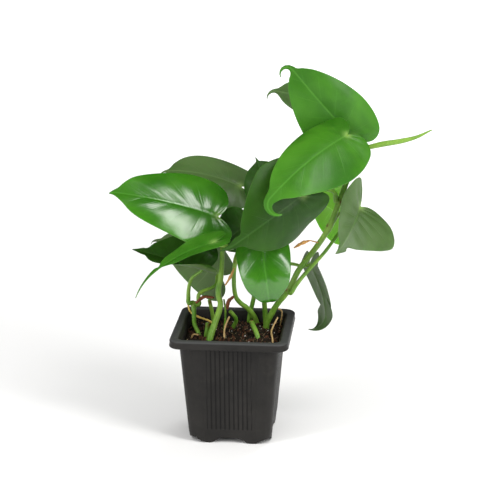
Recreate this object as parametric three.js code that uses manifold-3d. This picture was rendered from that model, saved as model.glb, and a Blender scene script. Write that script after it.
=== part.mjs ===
// Heartleaf philodendron in a square nursery pot. Millimetres, +Z up.
// The origin is the centre of the pot's underside, on the pad that rests on the table;
// +X and +Y run square to the pot's walls, and -Y is the side that the leaves turn to.
import * as THREE from "three";
import { mergeVertices } from "three/addons/utils/BufferGeometryUtils.js";
import Module from "manifold-3d";

const wasm = await Module();
wasm.setup();

// ---- driving dimensions -------------------------------------------------
const POT_HEIGHT = 85;
const RIM_HALF = 45; // half the rim's outer width
const OPENING_HALF = 39.2;
const BODY_TOP_HALF = 38.2;
const BODY_BOTTOM_HALF = 31;
const WALL = 1.15;
const LIP_DROP = 6; // how far the rim's lip hangs below its top
const FLOOR_UNDERSIDE = 5;
const FOOT_LIFT = 4.4; // how far the scallops rise between the feet
const FOOT_OFFSET = 16; // feet stand this far from the middle of each side
const PAD_HALF = 9;
const SOIL_EDGE = 75.5;
const SOIL_CROWN = 76.5;
const GAP = 0.3; // left between pieces that touch
const BLADE_THICKNESS = 0.8; // at the middle of a blade

// ---- colours -------------------------------------------------------------
const material = (color, roughness) =>
  new THREE.MeshStandardMaterial({ color, roughness, metalness: 0 });
const PLASTIC = material(0x26272a, 0.45);
const PEAT = material(0x2a1b12, 0.95);
const LEAF = material(0x3a8f2a, 0.38);
const DARK_LEAF = material(0x27641f, 0.4);
const PALE_LEAF = material(0x86b52c, 0.45);
const STEM = material(0x6f9a3c, 0.5);
const SHEATH = material(0x6b3a1c, 0.8);
const ROOT = material(0xc9a45a, 0.75);

const v3 = (x, y, z) => new THREE.Vector3(x, y, z);
const group = new THREE.Group();
group.name = "potted_philodendron";

function addMesh(name, geometry, finish) {
  const mesh = new THREE.Mesh(geometry, finish);
  mesh.name = name;
  group.add(mesh);
  return mesh;
}

// ---- pot and soil: rounded squares stacked on a profile --------------------
const SIDE_STEPS = 12;
const CORNER_STEPS = 4;

// One side and its corner, as [along, out] for a square whose side lies at out = half.
function sideAndCorner(half, radius) {
  const flat = half - radius;
  const points = [];
  for (let i = 0; i < SIDE_STEPS; i++) points.push([-flat + (2 * flat * i) / SIDE_STEPS, half]);
  for (let i = 0; i < CORNER_STEPS; i++) {
    const angle = (Math.PI / 2) * (i / CORNER_STEPS);
    points.push([flat + radius * Math.sin(angle), flat + radius * Math.cos(angle)]);
  }
  return points;
}

// A closed body whose sections are rounded squares. The profile runs from the axis, round the
// section and back to the axis; a height is a number or a function of the place along a side.
function squareLathe(profile) {
  const positions = [];
  const indices = [];
  const first = profile[0];
  const last = profile[profile.length - 1];
  const rings = profile.slice(1, -1);
  positions.push(0, 0, first.z);
  for (const { half, radius, z } of rings) {
    for (let side = 0; side < 4; side++) {
      const turn = (-side * Math.PI) / 2;
      for (const [along, out] of sideAndCorner(half, radius).reverse()) {
        const x = along * Math.cos(turn) - out * Math.sin(turn);
        const y = along * Math.sin(turn) + out * Math.cos(turn);
        positions.push(x, y, typeof z === "function" ? z(along, half) : z);
      }
    }
  }
  positions.push(0, 0, last.z);
  // Each side above runs backwards, so the four are put in counter-clockwise order here.
  const perSide = SIDE_STEPS + CORNER_STEPS;
  const count = 4 * perSide;
  const order = [];
  for (let side = 3; side >= 0; side--) for (let i = 0; i < perSide; i++) order.push(side * perSide + i);
  const at = (ring, i) => 1 + ring * count + order[i % count];
  const end = 1 + rings.length * count;
  for (let i = 0; i < count; i++) {
    indices.push(0, at(0, i + 1), at(0, i));
    indices.push(at(rings.length - 1, i), at(rings.length - 1, i + 1), end);
    for (let ring = 0; ring + 1 < rings.length; ring++) {
      indices.push(at(ring, i), at(ring, i + 1), at(ring + 1, i + 1));
      indices.push(at(ring, i), at(ring + 1, i + 1), at(ring + 1, i));
    }
  }
  const geometry = new THREE.BufferGeometry();
  geometry.setAttribute("position", new THREE.Float32BufferAttribute(positions, 3));
  geometry.setIndex(indices);
  return geometry;
}

function toSolid(geometry) {
  const bare = geometry.index ? geometry.toNonIndexed() : geometry.clone();
  bare.deleteAttribute("normal");
  bare.deleteAttribute("uv");
  const merged = mergeVertices(bare, 1e-3);
  return new wasm.Manifold(
    new wasm.Mesh({
      numProp: 3,
      vertProperties: merged.attributes.position.array,
      triVerts: new Uint32Array(merged.index.array),
    }),
  );
}

function toGeometry(solid) {
  const mesh = solid.getMesh();
  const geometry = new THREE.BufferGeometry();
  geometry.setAttribute("position", new THREE.BufferAttribute(mesh.vertProperties, 3));
  geometry.setIndex(new THREE.BufferAttribute(mesh.triVerts, 1));
  return geometry;
}

// Height of the wall's lower edge: two feet a side, with a scallop between them and at each corner.
function footHeight(along, half) {
  const fromFoot = Math.abs(along) - FOOT_OFFSET;
  const rise = Math.min(1, Math.abs(fromFoot) / (fromFoot > 0 ? half - FOOT_OFFSET : 11));
  return (FOOT_LIFT * (1 - Math.cos(Math.PI * rise))) / 2;
}

function makePot() {
  const top = POT_HEIGHT;
  const profile = [
    { z: 0 },
    { half: PAD_HALF, radius: 5, z: 0 },
    { half: PAD_HALF + 2, radius: 6, z: FLOOR_UNDERSIDE },
    { half: BODY_BOTTOM_HALF - WALL - 0.8, radius: 5, z: FLOOR_UNDERSIDE },
    { half: BODY_BOTTOM_HALF - WALL, radius: 5.5, z: footHeight },
    { half: BODY_BOTTOM_HALF, radius: 6.5, z: footHeight },
    { half: BODY_BOTTOM_HALF + 0.5, radius: 6.6, z: 6 },
    { half: BODY_TOP_HALF, radius: 8, z: top - 1.5 },
    { half: RIM_HALF - 1.2, radius: 8.5, z: top - 1.7 },
    { half: RIM_HALF - 1.1, radius: 8.6, z: top - LIP_DROP },
    { half: RIM_HALF, radius: 9.5, z: top - LIP_DROP + 0.2 },
    { half: RIM_HALF, radius: 9.5, z: top - 1.2 },
    { half: RIM_HALF - 0.9, radius: 8.8, z: top },
    { half: OPENING_HALF, radius: 7, z: top },
    { half: BODY_TOP_HALF - WALL, radius: 6.2, z: top - 2.6 },
    { half: BODY_BOTTOM_HALF - WALL + 0.6, radius: 5, z: FLOOR_UNDERSIDE + WALL },
    { z: FLOOR_UNDERSIDE + WALL },
  ];
  let pot = toSolid(squareLathe(profile));
  for (const [x, y] of [[1, 1], [1, -1], [-1, 1], [-1, -1]]) {
    const slot = new THREE.BoxGeometry(12, 3.4, 4);
    slot.rotateZ((-Math.PI / 4) * x * y);
    slot.translate(17 * x, 17 * y, FLOOR_UNDERSIDE + 0.6);
    pot = pot.subtract(toSolid(slot));
  }
  return toGeometry(pot);
}

const innerHalf = (z) => {
  const low = FLOOR_UNDERSIDE + WALL;
  const high = POT_HEIGHT - 2.6;
  const share = (z - low) / (high - low);
  return THREE.MathUtils.lerp(BODY_BOTTOM_HALF - WALL + 0.6, BODY_TOP_HALF - WALL, share);
};

function makeSoil() {
  const low = FLOOR_UNDERSIDE + WALL + GAP;
  return toSolid(
    squareLathe([
      { z: low },
      { half: innerHalf(low) - GAP - 0.1, radius: 4.6, z: low },
      { half: innerHalf(SOIL_EDGE) - GAP - 0.1, radius: 5.6, z: SOIL_EDGE },
      { half: 24, radius: 8, z: (SOIL_EDGE + SOIL_CROWN) / 2 },
      { z: SOIL_CROWN },
    ]),
  );
}

// ---- stems, roots and sheaths: cylinders bent along a curve ----------------
const curveThrough = (points) =>
  new THREE.CatmullRomCurve3(points.map((p) => v3(...p)), false, "centripetal");

// The radius at a share of the length, read from a short list of radii spread along it.
function radiusAt(radii, share) {
  const place = share * (radii.length - 1);
  const i = Math.min(Math.floor(place), radii.length - 2);
  return THREE.MathUtils.lerp(radii[i], radii[i + 1], place - i);
}

function bentCylinder(curve, radii, sides, steps, grow = 0) {
  const geometry = new THREE.CylinderGeometry(1, 1, 1, sides, steps);
  const frames = curve.computeFrenetFrames(steps, false);
  const position = geometry.attributes.position;
  for (let i = 0; i < position.count; i++) {
    // The cylinder's axis is its Y: its top, at +0.5, becomes the start of the curve.
    const share = THREE.MathUtils.clamp(0.5 - position.getY(i), 0, 1);
    const step = Math.round(share * steps);
    const r = radiusAt(radii, share) + grow;
    const x = position.getX(i);
    const z = position.getZ(i);
    // Both ends stand out by grow, and the middle of each is a low cone.
    const cone = Math.hypot(x, z) < 0.5 ? 0.4 * r : 0;
    const standOut = share === 0 ? -grow - cone : share === 1 ? grow + cone : 0;
    const p = curve
      .getPointAt(share)
      .addScaledVector(frames.normals[step], x * r)
      .addScaledVector(frames.binormals[step], z * r)
      .addScaledVector(frames.tangents[step], standOut);
    position.setXYZ(i, p.x, p.y, p.z);
  }
  return geometry;
}

// ---- blades: a cylinder pressed flat into a heart ---------------------------
// Half of the heart's outline from the notch to the start of the drip tip, as [along the midrib, out
// from it]; 1 is the blade's whole length and its half width.
const HEART = [
  [0.0, 0.012], [-0.07, 0.1], [-0.13, 0.28], [-0.15, 0.54], [-0.09, 0.8], [0.05, 0.97], [0.22, 1.0],
  [0.42, 0.87], [0.6, 0.66], [0.73, 0.44], [0.81, 0.22],
];
const DRIP_START = 0.86; // share of the length where the drip tip begins, unless the leaf says otherwise
const ROWS = 11;
const COLUMNS = 6; // steps across the blade, an even number
const SPINE_STEPS = 50;

// The outline of one half of a leaf: lobe lengthens the lobe behind the notch, waist above 1 draws the
// blade in towards its tip and below 1 fills it out, and tip is the half width where the drip tip begins.
function outlineOf(leaf, side) {
  const drip = leaf.drip ?? DRIP_START;
  const lobe = (leaf.lobe ?? [1, 1])[side];
  const waist = (leaf.waist ?? [1, 1])[side];
  const tip = leaf.tip ?? 0.07;
  const points = HEART.map(([along, out]) =>
    v3(along * (along > 0 ? drip / DRIP_START : lobe), along > 0.1 ? out ** waist : out, 0),
  );
  points.push(v3(drip, tip, 0), v3((1 + drip) / 2, Math.max(0.5 * tip, 0.04), 0), v3(1, 0.02, 0));
  return new THREE.CatmullRomCurve3(points);
}

// Where a row of the blade leaves the midrib, as a share of its length.
const rowRoot = (u) => 0.07 * u + 0.93 * Math.pow(u, 3.1);

// The midrib as a chain of frames, first lying along +X with the upper side to +Z.
function localSpine({ arch = 0, hook = 0, hookSway = 0, drip = DRIP_START }) {
  const frames = [];
  const point = v3(0, 0, 0);
  let along = v3(1, 0, 0);
  let face = v3(0, 0, 1);
  let left = v3(0, 1, 0);
  const rad = THREE.MathUtils.degToRad;
  for (let i = 0; i <= SPINE_STEPS; i++) {
    frames.push({ point: point.clone(), along: along.clone(), face: face.clone(), left: left.clone() });
    const inTip = (i + 0.5) / SPINE_STEPS > drip;
    const steps = SPINE_STEPS * (inTip ? 1 - drip : drip);
    const pitch = rad(inTip ? hook : arch) / steps;
    const yaw = inTip ? rad(hookSway) / steps : 0;
    const turn = new THREE.Quaternion()
      .setFromAxisAngle(left, pitch)
      .premultiply(new THREE.Quaternion().setFromAxisAngle(face, yaw));
    along = along.applyQuaternion(turn).normalize();
    face = face.applyQuaternion(turn).addScaledVector(along, -face.dot(along)).normalize();
    left = face.clone().cross(along);
    point.addScaledVector(along, 1 / SPINE_STEPS);
  }
  return frames;
}

// The same chain, carried so that the blade runs from its base to its apex and its upper side faces
// the given compass direction and height, in degrees (0 is +X, 90 is +Y).
function placedSpine(leaf) {
  const frames = localSpine(leaf);
  const apexStep = Math.round(SPINE_STEPS * (leaf.drip ?? DRIP_START));
  const apexFrame = frames[apexStep];
  const middle = frames[Math.round(apexStep / 2)];
  const base = v3(...leaf.base);
  const target = v3(...leaf.apex).sub(base);
  const length = target.length() / apexFrame.point.length();
  const basis = (forward, up) => {
    const x = forward.clone().normalize();
    const z = up.clone().addScaledVector(x, -up.dot(x)).normalize();
    return new THREE.Matrix4().makeBasis(x, z.clone().cross(x), z);
  };
  const [compass, height] = leaf.faces.map(THREE.MathUtils.degToRad);
  const level = Math.cos(height);
  const facing = v3(Math.cos(compass) * level, Math.sin(compass) * level, Math.sin(height));
  const turn = basis(target, facing).multiply(basis(apexFrame.point, middle.face).transpose());
  return {
    length,
    frames: frames.map((f) => ({
      point: f.point.clone().multiplyScalar(length).applyMatrix4(turn).add(base),
      along: f.along.clone().applyMatrix4(turn),
      face: f.face.clone().applyMatrix4(turn),
      left: f.left.clone().applyMatrix4(turn),
    })),
  };
}

// The spine's frame at a share of its length; behind the base it runs straight back, raised by lobeLift.
function frameAt(spine, share, lobeLift) {
  if (share <= 0) {
    const f = spine.frames[0];
    const back = f.along.clone().multiplyScalar(Math.cos(lobeLift));
    back.addScaledVector(f.face, -Math.sin(lobeLift));
    return { ...f, point: f.point.clone().addScaledVector(back, share * spine.length) };
  }
  const place = share * SPINE_STEPS;
  const i = Math.min(Math.floor(place), SPINE_STEPS - 1);
  const mix = (key) => spine.frames[i][key].clone().lerp(spine.frames[i + 1][key], place - i);
  return {
    point: mix("point"),
    along: mix("along").normalize(),
    face: mix("face").normalize(),
    left: mix("left").normalize(),
  };
}

// A point of the blade: u runs from notch to tip, v from the right edge (-1) to the left edge (+1).
function bladePoint(leaf, spine, outlines, u, v, lift) {
  const side = v >= 0 ? 0 : 1;
  const rim = outlines[side].getPointAt(u);
  const out = Math.abs(v);
  const share = THREE.MathUtils.lerp(rowRoot(u), rim.x, out);
  const frame = frameAt(spine, share, THREE.MathUtils.degToRad(leaf.lobes ?? 0));
  const fade = 1 - 0.6 * Math.max(0, share);
  const slope = (pair) => THREE.MathUtils.degToRad((pair ?? [0, 0])[side]) * fade;
  const fold = slope(leaf.fold);
  const bend = slope(leaf.brim) - fold;
  const reach = out * rim.y; // share of the half width
  const halfWidth = leaf.halfWidth * ((leaf.sides ?? [1, 1])[side]);
  let across = reach * Math.cos(fold);
  let rise = reach * Math.sin(fold);
  if (Math.abs(bend) > 1e-3) {
    across = (Math.sin(fold + bend * reach) - Math.sin(fold)) / bend;
    rise = (Math.cos(fold) - Math.cos(fold + bend * reach)) / bend;
  }
  return frame.point
    .addScaledVector(frame.left, Math.sign(v) * across * halfWidth)
    .addScaledVector(frame.face, rise * halfWidth + lift);
}

function makeBlade(leaf) {
  const spine = placedSpine(leaf);
  const outlines = [outlineOf(leaf, 0), outlineOf(leaf, 1)];
  const around = 2 * COLUMNS;
  const geometry = new THREE.CylinderGeometry(1, 1, 1, around, ROWS);
  const position = geometry.attributes.position;
  for (let i = 0; i < position.count; i++) {
    const u = THREE.MathUtils.clamp(position.getY(i) + 0.5, 0, 1);
    const turn = Math.atan2(position.getX(i), position.getZ(i)); // 0 at +Z, a quarter turn at +X
    const onAxis = Math.hypot(position.getX(i), position.getZ(i)) < 0.5;
    const slot = ((Math.round((turn / (2 * Math.PI)) * around) % around) + around) % around;
    // Slots 0 to COLUMNS cross the upper side from the left edge to the right; the rest return below.
    const v = onAxis ? 0 : 1 - (2 * Math.min(slot, around - slot)) / COLUMNS;
    const edge = slot % COLUMNS === 0 || onAxis;
    const lift = edge ? 0 : slot < COLUMNS ? BLADE_THICKNESS / 2 : -BLADE_THICKNESS / 2;
    const p = bladePoint(leaf, spine, outlines, u, v, lift);
    position.setXYZ(i, p.x, p.y, p.z);
  }
  return { geometry, spine };
}

// ---- the blades' postures ----------------------------------------------------
// base is the notch where the petiole joins and apex the start of the drip tip; faces is the way the
// upper side looks [compass, height]; halfWidth is flat; arch, hook and hookSway turn the
// midrib; fold and brim are how steeply the left and right halves rise at the midrib and at the edge;
// lobes raises the two lobes behind the notch. Angles are in degrees.
const LEAVES = [
  { id: "top", base: [88, 27, 227], apex: [43, 14, 281], faces: [-102, 16], halfWidth: 27, arch: 26,
    fold: [14, 8], brim: [-8, -40], lobes: 4, hook: 20, hookSway: 165, drip: 0.82, tip: 0.09,
    waist: [0.9, 0.9], tone: LEAF },
  { id: "front", base: [85, -3, 236], apex: [32, -52, 199], faces: [-104, 38], halfWidth: 31, arch: 34,
    fold: [-14, 8], brim: [-62, -30], sides: [1, 0.84], lobes: 10, hook: 30, hookSway: 145, drip: 0.8,
    tip: 0.16, lobe: [0.7, 0.7], tone: LEAF },
  { id: "centre", base: [54, -24, 195], apex: [9, -50, 165], faces: [-88, 8], halfWidth: 39, arch: 24,
    fold: [-10, 8], brim: [-76, -8], sides: [0.82, 0.9], lobes: 2, hook: 14, hookSway: -18, drip: 0.8,
    waist: [0.9, 1.5], lobe: [1.7, 1.7], tip: 0.12, tone: DARK_LEAF },
  { id: "left", base: [-12, 2, 170], apex: [-86, -15, 191], faces: [-104, 48], halfWidth: 30, arch: 22,
    fold: [4, 18], brim: [-34, -20], sides: [0.94, 1], lobe: [1, 0.5], lobes: 6, hook: 26,
    hookSway: 10, drip: 0.93, tip: 0.14, waist: [0.85, 0.75], tone: LEAF },
  { id: "slim", base: [-10, -38, 161], apex: [-52, -52, 142], faces: [-102, 84], halfWidth: 17, arch: 26,
    fold: [8, 16], brim: [-20, -10], sides: [0.6, 1], lobes: 6, hook: 30, hookSway: 10, drip: 0.66,
    tip: 0.2, waist: [1.5, 1.5], tone: LEAF },
  { id: "back_left", base: [1, 48, 182], apex: [-58, 56, 191], faces: [-88, 58], halfWidth: 25, arch: 40,
    fold: [8, 8], brim: [-34, -34], lobes: 6, hook: 60, waist: [0.6, 0.6], tone: DARK_LEAF },
  { id: "low_left", base: [-25, 10, 125], apex: [-71, 8, 139], faces: [-92, 40], halfWidth: 27, arch: 18,
    fold: [66, 10], brim: [100, -10], lobes: 4, hook: 6, waist: [1.3, 1.3], tip: 0.12, tone: DARK_LEAF },
  { id: "low_back", base: [-15, 38, 113], apex: [-64, 50, 136], faces: [80, 24], halfWidth: 31, arch: 44,
    fold: [12, 12], brim: [-24, -24], lobes: 6, hook: 90, tone: DARK_LEAF },
  { id: "mid_back", base: [9, 13, 161], apex: [-13, 14, 144], faces: [-90, 4], halfWidth: 19, arch: 20,
    fold: [10, 10], brim: [-14, -14], lobes: 4, hook: 20, tone: DARK_LEAF },
  { id: "high_back", base: [23, 36, 183], apex: [14, 46, 203], faces: [-96, 6], halfWidth: 18, arch: 16,
    fold: [12, 12], brim: [-12, -12], lobes: 4, hook: 10, hookSway: 20, tone: DARK_LEAF },
  { id: "glossy", base: [22, -14, 161], apex: [30, -34, 118], faces: [-88, 28], halfWidth: 22, arch: 84,
    fold: [12, 12], brim: [-52, -52], lobes: 10, hook: 70, waist: [0.4, 0.4], tip: 0.4, tone: LEAF },
  { id: "backlit", base: [80, 40, 162], apex: [50, 60, 173], faces: [100, 24], halfWidth: 31, arch: 24,
    fold: [12, 12], brim: [-16, -16], lobes: 6, hook: 20, tone: PALE_LEAF },
  { id: "right", base: [95, 14, 177], apex: [82, -12, 152], faces: [-46, 30], halfWidth: 43, arch: 30,
    fold: [6, 32], brim: [-22, 32], sides: [0.95, 0.58], lobes: 6, hook: 10, hookSway: -20,
    lobe: [0.8, 2.3], waist: [1.5, 1.3], tip: 0.12, tone: DARK_LEAF },
  { id: "low_right", base: [56, 30, 126], apex: [69, 26, 88], faces: [20, 0], halfWidth: 26, arch: 26,
    fold: [14, 14], brim: [-20, -20], lobes: 40, hook: 105, drip: 0.66, tip: 0.85, waist: [0.8, 0.8],
    tone: DARK_LEAF },
  { id: "behind_top", base: [70, 46, 250], apex: [29, 42, 259], faces: [-92, 26], halfWidth: 17, arch: 22,
    fold: [12, 12], brim: [-16, -16], lobes: 6, hook: 60, hookSway: 80, drip: 0.78, tip: 0.12,
    tone: DARK_LEAF },
];

// ---- vines: each follows its points up from the soil; radii are spread along it --------
const VINES = {
  vine_right: {
    at: [[23, 21, 69], [23, 21, 77], [32, 16, 97], [41, 12, 110], [49, 10, 127], [61, 9, 144],
      [71, 9, 160], [80, 10, 184], [88, 11, 206], [96, 12, 220]],
    radii: [2.3, 2.2, 2.1, 2.1, 2.0, 1.9],
    steps: 16,
  },
  vine_left: {
    at: [[-17, -13, 69], [-17, -13, 77], [-13, -6, 90], [-10, 0, 101], [-12, 2, 110], [-10, 3, 121],
      [-9, 4, 137], [-9, 4, 150]],
    radii: [2.6, 2.4, 2.1, 2.1, 1.7, 1.5],
    steps: 14,
  },
  vine_middle: {
    at: [[15, 30, 69], [15, 30, 78], [9, 22, 91], [1, 15, 101], [-1, 13, 117], [1, 15, 136], [6, 20, 148]],
    radii: [2.0, 1.9, 1.7, 1.6, 1.5],
    steps: 13,
  },
  vine_back: {
    at: [[22, 31, 69], [22, 31, 79], [21, 28, 100], [22, 26, 126], [26, 27, 146]],
    radii: [2.0, 1.9, 1.8, 1.7],
    steps: 9,
  },
  vine_rear: {
    at: [[9, 33, 69], [9, 33, 79], [13, 33, 100], [15, 34, 128], [13, 38, 150]],
    radii: [1.8, 1.7, 1.6, 1.5],
    steps: 9,
  },
  vine_short: {
    at: [[-2, 15, 69], [-2, 15, 77], [1, 10, 86], [-3, 5, 94]],
    radii: [1.6, 1.5, 1.5],
    steps: 7,
  },
  vine_far_left: {
    at: [[-26, -2, 69], [-27, 0, 77], [-31, 7, 82], [-32, 13, 88], [-33, 18, 97]],
    radii: [1.5, 1.5, 1.6, 1.9],
    steps: 8,
  },
};

// ---- petioles: each leaves its vine at a height and runs up to its blade's notch ------------
const PETIOLES = [
  { leaf: "top", vine: "vine_right", height: 219, by: [[98, 21, 221], [94, 35, 223]] },
  { leaf: "front", vine: "vine_right", height: 216, by: [[94, 6, 222], [89, 3, 231]] },
  { leaf: "centre", vine: "vine_right", height: 182, by: [[76, 4, 190], [66, -8, 196], [58, -18, 197]] },
  { leaf: "left", vine: "vine_left", height: 147, by: [[-13, 6, 156], [-14, 6, 164]] },
  { leaf: "slim", vine: "vine_left", height: 145, by: [[-2, -4, 147], [1, -15, 151], [-2, -30, 156]] },
  { leaf: "back_left", vine: "vine_middle", height: 132, by: [[6, 30, 146], [9, 46, 168]] },
  { leaf: "low_left", vine: "vine_far_left", height: 96, by: [[-37, 19, 104], [-35, 20, 114]] },
  { leaf: "low_back", vine: "vine_far_left", height: 95, by: [[-29, 21, 102], [-17, 25, 108]] },
  { leaf: "mid_back", vine: "vine_middle", height: 144, by: [[12, 20, 150], [12, 18, 159]] },
  { leaf: "high_back", vine: "vine_rear", height: 146, by: [[17, 42, 158], [23, 43, 174]] },
  { leaf: "glossy", vine: "vine_back", height: 143, by: [[27, 20, 152], [27, 4, 164]] },
  { leaf: "backlit", vine: "vine_right", height: 163, by: [[77, 18, 168], [82, 32, 168]] },
  { leaf: "right", vine: "vine_right", height: 111,
    by: [[49, 5, 119], [58, 2, 131], [69, 2, 144], [85, 14, 165]] },
  { leaf: "low_right", vine: "vine_back", height: 123, by: [[32, 24, 127], [43, 26, 127], [50, 28, 125]] },
  { leaf: "behind_top", vine: "vine_right", height: 204, by: [[93, 22, 208], [92, 40, 224], [80, 47, 242]] },
];

// ---- the smaller parts: new leaf, cut stubs, dry sheaths and roots ------------------------
const SMALL_PARTS = [
  { id: "new_leaf", at: [[99, 13, 223], [111, 13, 226], [124, 15, 228], [136, 17, 231], [147, 20, 236]],
    radii: [1.7, 2.1, 1.9, 1.3, 0.5], finish: STEM },
  { id: "stub_front", at: [[-19, -4, 87], [-20, -5, 79], [-21, -5, 70]], radii: [1.9, 1.9], finish: STEM },
  { id: "stub_fallen", at: [[13, 6, 86], [18, -2, 79], [21, -6, 70]], radii: [1.8, 1.8], finish: STEM },
  { id: "stub_back", at: [[-21, 22, 97], [-19, 25, 84], [-18, 27, 70]], radii: [1.5, 1.5], finish: STEM },
  { id: "sheath_node", at: [[-5, 2, 97], [-4, 2, 103], [0, 2, 107]], radii: [1.6, 2.8, 1.0], finish: SHEATH },
  { id: "sheath_withered", at: [[-30, 12, 98], [-24, 11, 103], [-16, 7, 104]], radii: [1.5, 1.6, 0.8],
    finish: SHEATH },
  { id: "sheath_tan", at: [[-6, -1, 117], [-2, -2, 124], [1, -2, 131]], radii: [0.9, 1.6, 0.7],
    finish: ROOT },
  { id: "sheath_right", at: [[46, 2, 147], [52, 1, 151], [58, 2, 153]], radii: [0.8, 2.2, 0.7],
    finish: ROOT },
  { id: "root_front", at: [[-3, -2, 92], [-6, -8, 84], [-5, -14, 70]], radii: [0.8, 0.9], finish: ROOT },
  { id: "root_yellow", at: [[-38, 20, 95], [-35, 18, 88], [-29, 19, 84], [-20, 18, 81], [-13, 20, 72]],
    radii: [0.9, 1.0, 1.0], finish: ROOT },
  { id: "root_right", at: [[33, 21, 92], [35, 26, 88], [33, 29, 71]], radii: [0.8, 0.8], finish: ROOT },
  { id: "root_right_front", at: [[33, 12, 88], [29, 6, 80], [31, -12, 78], [32, -15, 70]], radii: [0.8, 0.9],
    finish: ROOT },
  { id: "root_thin", at: [[-8, 6, 103], [-7, 8, 92], [-9, 12, 71]], radii: [0.8, 0.9], finish: STEM },
  { id: "root_left", at: [[-26, -12, 80], [-30, -9, 79], [-33, -8, 71]], radii: [0.8, 0.8], finish: ROOT },
];

// ---- assembly ------------------------------------------------------------
const plants = {};
for (const [name, { at, radii, steps }] of Object.entries(VINES)) {
  plants[name] = { curve: curveThrough(at), radii, steps, sides: 8, finish: STEM };
}

const spines = {};
for (const leaf of LEAVES) {
  const blade = makeBlade(leaf);
  spines[leaf.id] = blade.spine;
  addMesh(`blade_${leaf.id}`, blade.geometry, leaf.tone);
}

const PETIOLE_RADII = [1.7, 1.3, 1.1];
for (const { leaf, vine, height, by } of PETIOLES) {
  const stem = plants[vine];
  let share = 1;
  while (share > 0 && stem.curve.getPointAt(share).z > height) share -= 0.005;
  const middle = stem.curve.getPointAt(share);
  const axis = stem.curve.getTangentAt(share);
  const toward = v3(...by[0]).sub(middle);
  const outward = toward.clone().addScaledVector(axis, -toward.dot(axis)).normalize();
  const tilt = Math.abs(toward.normalize().dot(axis));
  const seat = PETIOLE_RADII[0] * (Math.max(tilt, 0.4) + 0.4);
  const reach = radiusAt(stem.radii, share) + GAP + seat;
  const start = middle.clone().addScaledVector(outward, reach);
  const { point, face } = spines[leaf].frames[0];
  const end = point.clone().addScaledVector(face, -(BLADE_THICKNESS / 2 + GAP + 1.3 * PETIOLE_RADII[2]));
  const curve = curveThrough([start.toArray(), ...by, end.toArray()]);
  const steps = 5 + 2 * by.length;
  plants[`petiole_${leaf}`] = { curve, radii: PETIOLE_RADII, steps, sides: 6, finish: STEM };
}
for (const { id, at, radii, finish } of SMALL_PARTS) {
  plants[id] = { curve: curveThrough(at), radii, steps: 3 * at.length - 2, sides: 6, finish };
}

let soil = makeSoil();
for (const [name, { curve, radii, steps, sides, finish }] of Object.entries(plants)) {
  addMesh(name, bentCylinder(curve, radii, sides, steps), finish);
  if (curve.getPointAt(0).z < SOIL_EDGE || curve.getPointAt(1).z < SOIL_EDGE) {
    soil = soil.subtract(toSolid(bentCylinder(curve, radii, sides, steps, GAP)));
  }
}
addMesh("soil", toGeometry(soil), PEAT);
addMesh("pot", makePot(), PLASTIC);

export default group;
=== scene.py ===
"""A heartleaf philodendron in a square nursery pot, in metres, in the frame of the CAD model.

The pot, the soil and every leaf, stem, sheath and root are built again here in fine detail. Each piece
takes its place from the CAD node that it stands for: a stem follows the rings of its node, and a blade
hangs from the end of its petiole's node.
"""
import math

import bmesh
import bpy
import numpy as np
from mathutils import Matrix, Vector, noise


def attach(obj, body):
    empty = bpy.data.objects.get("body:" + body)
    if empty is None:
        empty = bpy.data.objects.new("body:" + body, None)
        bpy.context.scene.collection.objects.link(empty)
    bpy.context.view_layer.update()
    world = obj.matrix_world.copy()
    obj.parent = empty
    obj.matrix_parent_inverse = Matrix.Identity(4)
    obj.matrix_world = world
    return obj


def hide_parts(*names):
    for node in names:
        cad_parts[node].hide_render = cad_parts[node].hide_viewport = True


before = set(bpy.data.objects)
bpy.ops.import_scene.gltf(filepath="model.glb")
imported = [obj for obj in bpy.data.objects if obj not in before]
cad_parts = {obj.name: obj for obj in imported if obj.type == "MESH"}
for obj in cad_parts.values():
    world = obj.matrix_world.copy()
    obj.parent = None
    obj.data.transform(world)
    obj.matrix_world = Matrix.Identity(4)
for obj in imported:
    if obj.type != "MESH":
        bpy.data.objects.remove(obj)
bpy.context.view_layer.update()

MM = 0.001

# ---------------------------------------------------------------- camera, light and floor
CAMERA_AZIMUTH = 5.35
CAMERA_ELEVATION = 16.1
CAMERA_DISTANCE = 1.4
CAMERA_LENS = 133.2
TARGET_RIGHT = 0.0126  # the camera looks at a point this far to its right of the pot's axis
TARGET_HEIGHT = 0.1445
LIGHT_TARGET = (0.02, 0, 0.14)  # the area lights point at the middle of the plant
SUN_SPREAD = 70  # degrees: the suns are so wide that their shadows have no edge
AIR_BRIGHTNESS = 0.42
FLOOR_HALF = 3.0
TABLE_HALF = 1.3  # the part of the floor that shows in glossy surfaces


def add_object(name, data):
    """A new object of the scene that holds the data."""
    obj = bpy.data.objects.new(name, data)
    bpy.context.collection.objects.link(obj)
    return obj


def look_at(obj, target):
    obj.rotation_euler = (Vector(target) - obj.location).to_track_quat("-Z", "Y").to_euler()


def add_camera():
    azimuth = math.radians(CAMERA_AZIMUTH)
    elevation = math.radians(CAMERA_ELEVATION)
    target = Vector((TARGET_RIGHT * math.cos(azimuth), TARGET_RIGHT * math.sin(azimuth), TARGET_HEIGHT))
    level = math.cos(elevation)
    back = Vector((math.sin(azimuth) * level, -math.cos(azimuth) * level, math.sin(elevation)))
    camera = add_object("camera", bpy.data.cameras.new("camera"))
    camera.data.lens = CAMERA_LENS
    camera.data.sensor_width = 36
    camera.location = target + back * CAMERA_DISTANCE
    look_at(camera, target)
    bpy.context.scene.camera = camera


def add_light(name, kind, place, target, strength, colour, glossy):
    """A light; one that isn't glossy lights the leaves but doesn't show in their sheen."""
    light = bpy.data.lights.new(name, kind)
    light.energy = strength
    light.color = colour
    obj = add_object(name, light)
    obj.location = place
    obj.visible_glossy = glossy
    look_at(obj, target)
    return light


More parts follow.
